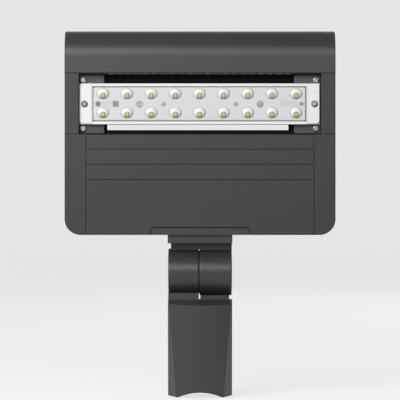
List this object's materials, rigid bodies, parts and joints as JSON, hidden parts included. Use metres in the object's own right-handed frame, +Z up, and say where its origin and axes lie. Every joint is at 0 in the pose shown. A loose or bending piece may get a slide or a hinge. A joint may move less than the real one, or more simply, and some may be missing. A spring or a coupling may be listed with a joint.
{
  "type": "shoebox area light",
  "caption": "Outdoor area light: flat box head with a white lens module, hinged driver door and visor, on a tilting slipfitter arm.",
  "frame": {"origin": "on the axis of the arm's tenon bore, where its wall first closes all round", "axes": "+Z up along the arm towards the visor, -Y out of the lit face, +X to the right of the lit face"},
  "size_m": [0.3388, 0.081, 0.4593],
  "materials": {
    "body_coat": "charcoal powder coat on die-cast aluminium",
    "bridge_coat": "dark satin coat on aluminium sheet",
    "sink_black": "black anodised aluminium extrusion",
    "module_white": "white coat on extruded aluminium",
    "lens_clear": "clear moulded polycarbonate",
    "board_white": "white solder mask",
    "chip_phosphor": "yellow-green phosphor",
    "connector_pale": "pale moulded plastic",
    "seal_rubber": "black silicone",
    "screw_steel": "stainless steel",
    "bolt_steel": "zinc-plated steel",
    "spring_steel": "spring strip",
    "driver_case": "plain sheet aluminium case",
    "moulding_black": "black moulded plastic",
    "lead_red": "silicone lead insulation",
    "lead_black": "silicone lead insulation"
  },
  "bodies": {
    "arm": {"arm": "body_coat", "pivot_bolt": "bolt_steel", "pivot_nut": "bolt_steel", "pivot_washer": "bolt_steel", "tenon_set_screws": "screw_steel"},
    "head": {"driver_housing": "body_coat", "front_bezel": "body_coat", "visor": "body_coat", "visor_plate": "body_coat", "side_rail_left": "body_coat", "side_rail_right": "body_coat", "heat_sink": "sink_black", "knuckle_bracket": "body_coat", "bridge_left": "bridge_coat", "bridge_right": "bridge_coat", "module_frame": "module_white", "end_plate_left": "module_white", "end_plate_right": "module_white", "lens_plate": "lens_clear", "led_board": "board_white", "led_chips": "chip_phosphor", "board_connectors": "connector_pale", "lens_gasket": "seal_rubber", "door_gasket": "seal_rubber", "bracket_gasket": "seal_rubber", "wire_bushing": "seal_rubber", "bridge_screws": "screw_steel", "end_plate_screws": "screw_steel", "end_screw_rings": "seal_rubber", "lens_screws": "screw_steel", "bezel_screws": "screw_steel", "driver_screws": "screw_steel", "terminal_screws": "screw_steel", "rail_screws": "screw_steel", "visor_plate_screws": "screw_steel", "visor_screws": "screw_steel", "heat_sink_screws": "screw_steel", "door_hinge_pins": "screw_steel", "bracket_bolts": "bolt_steel", "door_catches": "spring_steel", "driver": "driver_case", "driver_plate": "driver_case", "surge_protector": "moulding_black", "terminal_block": "moulding_black", "breather_vent": "moulding_black", "pivot_cap": "moulding_black", "module_leads": "lead_red", "input_leads": "lead_black"},
    "door": {"driver_door": "body_coat"}
  },
  "joints": [
    {"name": "tilt", "type": "hinge", "parent": "arm", "child": "head", "pos_m": [-0.0012, 0, 0.15], "axis": [1, 0, 0], "range_deg": [-90, 90]},
    {"name": "door_hinge", "type": "hinge", "parent": "head", "child": "door", "pos_m": [0, -0.0336, 0.3206], "axis": [-1, 0, 0], "range_deg": [0, 95]}
  ]
}
